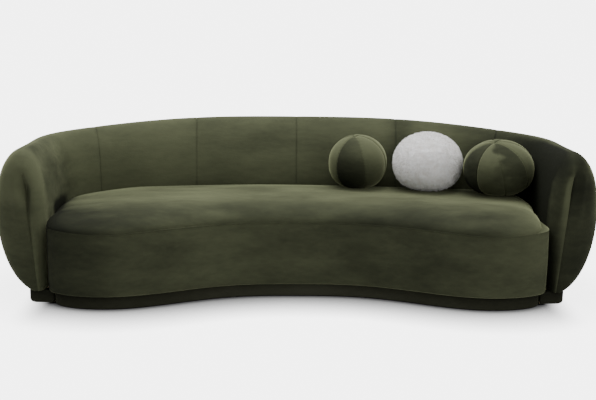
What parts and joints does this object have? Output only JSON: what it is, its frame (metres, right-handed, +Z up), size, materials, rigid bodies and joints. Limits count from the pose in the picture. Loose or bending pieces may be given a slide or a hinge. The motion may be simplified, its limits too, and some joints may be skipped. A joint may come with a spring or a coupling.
{
  "type": "curved sofa",
  "caption": "Bean-shaped upholstered seat held in the curve of a bowl-shaped channelled back that wraps round into the arms, on low plinths, with loose ball cushions.",
  "frame": {"origin": "on the floor, below the middle of the sofa's bounding box", "axes": "+X to the right seen from the front, along the sofa's length; +Y from the front to the back; +Z up"},
  "size_m": [2.645, 1.0852, 0.745],
  "materials": {
    "velvet": "matte",
    "plinth_velvet": "matte",
    "ball_velvet": "matte",
    "short_fur": "matte",
    "foam": "matte",
    "fibre_fill": "matte",
    "webbing": "matte",
    "cambric": "matte",
    "plywood": "matte",
    "glide_plastic": "satin",
    "zip_plastic": "satin",
    "bolt_steel": "satin"
  },
  "bodies": {
    "sofa": {"seat_border_cover": "velvet", "seat_top_cover": "velvet", "seat_welt": "velvet", "seat_foam": "foam", "seat_front_rail": "plywood", "seat_right_rail": "plywood", "seat_rear_rail": "plywood", "seat_left_rail": "plywood", "seat_cross_rail_1": "plywood", "seat_cross_rail_2": "plywood", "seat_cross_rail_3": "plywood", "seat_webbing": "webbing", "seat_dust_cover": "cambric", "back_cover_panel_1": "velvet", "back_cover_panel_2": "velvet", "back_cover_panel_3": "velvet", "back_cover_panel_4": "velvet", "back_cover_panel_5": "velvet", "back_cover_panel_6": "velvet", "back_foam": "foam", "back_base_plate": "plywood", "back_crest_batten": "plywood", "back_belly_batten": "plywood", "back_lower_batten": "plywood", "back_rib_1": "plywood", "back_rib_2": "plywood", "back_rib_3": "plywood", "back_rib_4": "plywood", "back_rib_5": "plywood", "back_rib_6": "plywood", "back_rib_7": "plywood", "back_rib_8": "plywood", "back_rib_9": "plywood", "seat_plinth_cover": "plinth_velvet", "seat_plinth_board": "plywood", "back_plinth_cover": "plinth_velvet", "back_plinth_board": "plywood", "glide_1": "glide_plastic", "glide_2": "glide_plastic", "glide_3": "glide_plastic", "glide_4": "glide_plastic", "glide_5": "glide_plastic", "glide_6": "glide_plastic", "glide_7": "glide_plastic", "glide_8": "glide_plastic", "glide_9": "glide_plastic", "glide_10": "glide_plastic", "joining_bolt_1": "bolt_steel", "joining_bolt_2": "bolt_steel", "joining_bolt_3": "bolt_steel", "joining_bolt_4": "bolt_steel"},
    "left_green_cushion": {"left_green_cushion_cover": "ball_velvet", "left_green_cushion_zip": "zip_plastic", "left_green_cushion_fill": "fibre_fill"},
    "white_cushion": {"white_cushion_cover": "short_fur", "white_cushion_zip": "zip_plastic", "white_cushion_fill": "fibre_fill"},
    "right_green_cushion": {"right_green_cushion_cover": "ball_velvet", "right_green_cushion_zip": "zip_plastic", "right_green_cushion_fill": "fibre_fill"}
  },
  "joints": [
    {"name": "left_green_cushion_lift", "type": "slide", "parent": "sofa", "child": "left_green_cushion", "axis": [0, 0, 1], "range_m": [0, 0.4]},
    {"name": "white_cushion_lift", "type": "slide", "parent": "sofa", "child": "white_cushion", "axis": [0, 0, 1], "range_m": [0, 0.4]},
    {"name": "right_green_cushion_lift", "type": "slide", "parent": "sofa", "child": "right_green_cushion", "axis": [0, 0, 1], "range_m": [0, 0.4]}
  ]
}
